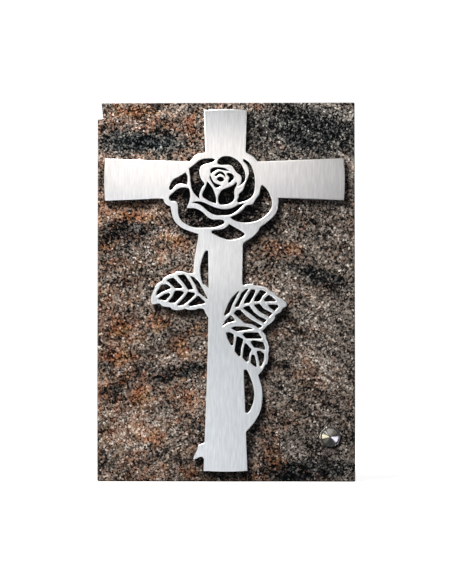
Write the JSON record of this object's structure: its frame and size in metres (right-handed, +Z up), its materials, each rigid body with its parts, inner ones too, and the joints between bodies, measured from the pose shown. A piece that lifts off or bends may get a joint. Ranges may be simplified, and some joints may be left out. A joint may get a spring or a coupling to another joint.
{
  "type": "granite memorial plaque",
  "caption": "Flat polished granite plaque that carries a sheet steel cross with an openwork rose, stem and leaves, and a conical screw cap low on its right.",
  "frame": {"origin": "centre of the slab's back face, where it lies against the wall or stone behind it", "axes": "+Z up along the cross's upright, +X to the right seen from the front, the front faces -Y"},
  "size_m": [0.178, 0.0249, 0.262],
  "materials": {
    "polished_granite": "polished",
    "brushed_steel": "brushed",
    "turned_steel": "turned"
  },
  "bodies": {
    "root": {"granite_slab": "polished_granite", "steel_cross": "brushed_steel", "screw_cap": "turned_steel"}
  },
  "joints": []
}
